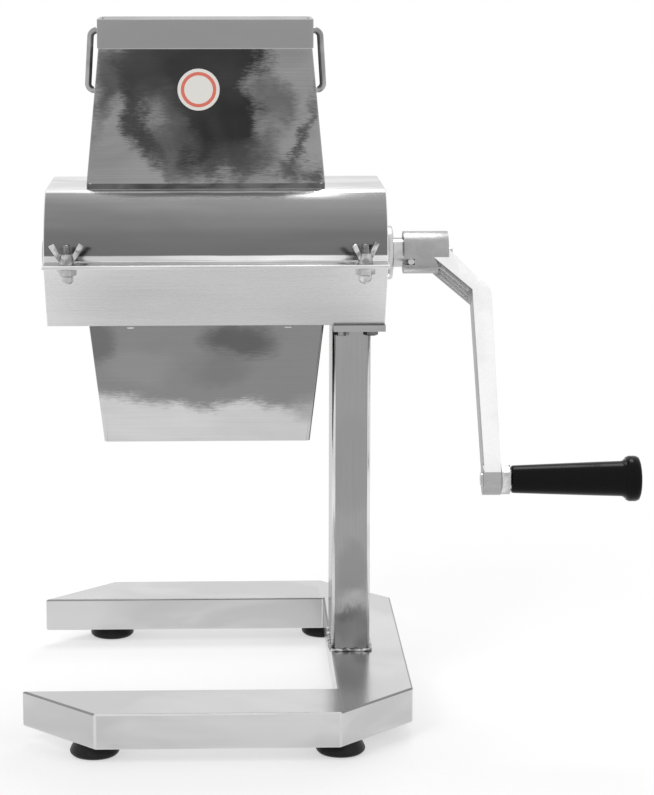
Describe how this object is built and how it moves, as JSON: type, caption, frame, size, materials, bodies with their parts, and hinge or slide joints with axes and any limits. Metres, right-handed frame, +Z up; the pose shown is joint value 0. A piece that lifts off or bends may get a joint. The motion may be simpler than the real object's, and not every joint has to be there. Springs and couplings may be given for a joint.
{
  "type": "crank meat tenderizer",
  "caption": "Hand cranked meat tenderizer: C-shaped stand, split steel housing with two bladed rollers, feed hopper, outlet chute and a crank with a turning grip.",
  "frame": {"origin": "on the surface the feet stand on, under the middle of the machine's whole width and depth", "axes": "+Z up, +X towards the crank, -Y towards the user"},
  "size_m": [0.458, 0.365, 0.537],
  "materials": {
    "stand_steel": "satin",
    "case_steel": "satin",
    "cover_steel": "polished",
    "chute_steel": "polished",
    "hopper_steel": "polished",
    "plate_steel": "satin",
    "comb_steel": "satin",
    "blade_steel": "satin",
    "shaft_steel": "turned",
    "gear_steel": "machined",
    "bush_metal": "turned",
    "weld": "rough",
    "zinc": "zinc plated",
    "chrome": "polished",
    "wing_steel": "zinc plated",
    "crank_casting": "silver painted casting",
    "grip_plastic": "glossy black",
    "foot_rubber": "black",
    "nylon": "white"
  },
  "bodies": {
    "stand": {"base_frame": "stand_steel", "foot_brackets": "zinc", "foot_screws": "zinc", "column": "stand_steel", "column_weld": "weld", "column_top_plate": "stand_steel", "stand_bolts": "zinc", "stand_nuts": "zinc", "lower_case": "case_steel", "outlet_chute": "chute_steel", "clamp_studs": "zinc", "clamp_lock_nuts": "zinc", "end_plate_left": "plate_steel", "end_plate_right": "plate_steel", "roller_bushes": "nylon", "front_comb": "comb_steel", "rear_comb": "comb_steel", "comb_screws": "zinc", "outer_bush": "bush_metal", "left_bush": "bush_metal", "foot_front_left": "foot_rubber", "foot_rear_left": "foot_rubber", "foot_front_right": "foot_rubber", "foot_rear_right": "foot_rubber", "clamp_cap_nut_front_left": "chrome", "clamp_cap_nut_rear_left": "chrome", "clamp_cap_nut_front_right": "chrome", "clamp_cap_nut_rear_right": "chrome"},
    "cover": {"upper_cover": "cover_steel"},
    "hopper": {"feed_hopper": "hopper_steel", "hopper_handle_left": "chrome", "hopper_handle_right": "chrome"},
    "drive": {"front_roller_shaft": "shaft_steel", "front_blades": "blade_steel", "front_spacers": "nylon", "front_gear": "gear_steel", "drive_sleeve": "shaft_steel", "crank_arm": "crank_casting", "drive_pin": "zinc", "end_screw": "zinc", "grip_spindle": "chrome", "grip_lock_nut": "chrome"},
    "rear_roller": {"rear_roller_shaft": "shaft_steel", "rear_blades": "blade_steel", "rear_spacers": "nylon", "rear_gear": "gear_steel"},
    "grip": {"grip": "grip_plastic"},
    "wing_front_left": {"wing_nut_front_left": "wing_steel"},
    "wing_rear_left": {"wing_nut_rear_left": "wing_steel"},
    "wing_front_right": {"wing_nut_front_right": "wing_steel"},
    "wing_rear_right": {"wing_nut_rear_right": "wing_steel"}
  },
  "joints": [
    {"name": "crank_turn", "type": "hinge", "parent": "stand", "child": "drive", "pos_m": [0, -0.02, 0.3565], "axis": [1, 0, 0], "continuous": true},
    {"name": "rear_roller_turn", "type": "hinge", "parent": "stand", "child": "rear_roller", "pos_m": [0, 0.02, 0.3565], "axis": [1, 0, 0], "continuous": true},
    {"name": "grip_spin", "type": "hinge", "parent": "drive", "child": "grip", "pos_m": [0.134, -0.14727, 0.20482], "axis": [1, 0, 0], "continuous": true},
    {"name": "cover_lift", "type": "slide", "parent": "stand", "child": "cover", "axis": [0, 0, 1], "range_m": [0, 0.08]},
    {"name": "hopper_lift", "type": "slide", "parent": "cover", "child": "hopper", "axis": [0, 0, 1], "range_m": [0, 0.06]},
    {"name": "wing_nut_turn_front_left", "type": "hinge", "parent": "cover", "child": "wing_front_left", "pos_m": [-0.1932, -0.095, 0.358], "axis": [0, 0, 1], "continuous": true},
    {"name": "wing_nut_turn_rear_left", "type": "hinge", "parent": "cover", "child": "wing_rear_left", "pos_m": [-0.1932, 0.095, 0.358], "axis": [0, 0, 1], "continuous": true},
    {"name": "wing_nut_turn_front_right", "type": "hinge", "parent": "cover", "child": "wing_front_right", "pos_m": [0.0292, -0.095, 0.358], "axis": [0, 0, 1], "continuous": true},
    {"name": "wing_nut_turn_rear_right", "type": "hinge", "parent": "cover", "child": "wing_rear_right", "pos_m": [0.0292, 0.095, 0.358], "axis": [0, 0, 1], "continuous": true}
  ],
  "couplings": [
    {"joint": "rear_roller_turn", "follows": "crank_turn", "ratio": -1}
  ]
}
